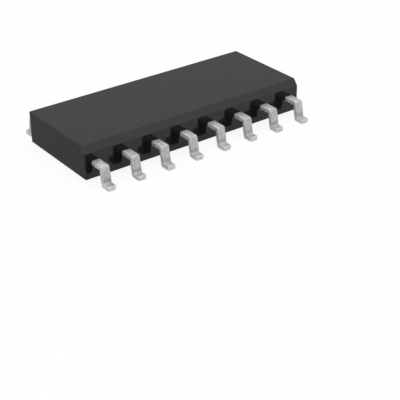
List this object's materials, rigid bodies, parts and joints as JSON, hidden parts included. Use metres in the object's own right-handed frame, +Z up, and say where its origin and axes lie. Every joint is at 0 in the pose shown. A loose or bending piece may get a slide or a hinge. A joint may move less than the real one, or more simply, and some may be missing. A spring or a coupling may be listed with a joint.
{
  "type": "soic chip",
  "caption": "Small-outline integrated circuit for surface mounting: a flat moulded block on two rows of gull-wing leads, with its die and bond wires inside.",
  "frame": {"origin": "middle of the chip at the level of the board that its feet stand on", "axes": "+X along the rows of leads, +Z up through the marked face; -Y is the side of leads 1 to 8, with the chamfered edge"},
  "size_m": [0.0098, 0.006, 0.0014],
  "materials": {
    "moulding": "matte",
    "tin_plate": "satin",
    "copper_strip": "satin",
    "silver_adhesive": "matte",
    "silicon": "polished",
    "gold_wire": "gloss"
  },
  "bodies": {
    "root": {"body": "moulding", "lead_1": "tin_plate", "lead_2": "tin_plate", "lead_3": "tin_plate", "lead_4": "tin_plate", "lead_5": "tin_plate", "lead_6": "tin_plate", "lead_7": "tin_plate", "lead_8": "tin_plate", "lead_9": "tin_plate", "lead_10": "tin_plate", "lead_11": "tin_plate", "lead_12": "tin_plate", "lead_13": "tin_plate", "lead_14": "tin_plate", "lead_15": "tin_plate", "lead_16": "tin_plate", "die_paddle": "copper_strip", "die_attach": "silver_adhesive", "die": "silicon", "bond_wire_1": "gold_wire", "bond_wire_2": "gold_wire", "bond_wire_3": "gold_wire", "bond_wire_4": "gold_wire", "bond_wire_5": "gold_wire", "bond_wire_6": "gold_wire", "bond_wire_7": "gold_wire", "bond_wire_8": "gold_wire", "bond_wire_9": "gold_wire", "bond_wire_10": "gold_wire", "bond_wire_11": "gold_wire", "bond_wire_12": "gold_wire", "bond_wire_13": "gold_wire", "bond_wire_14": "gold_wire", "bond_wire_15": "gold_wire", "bond_wire_16": "gold_wire"}
  },
  "joints": []
}
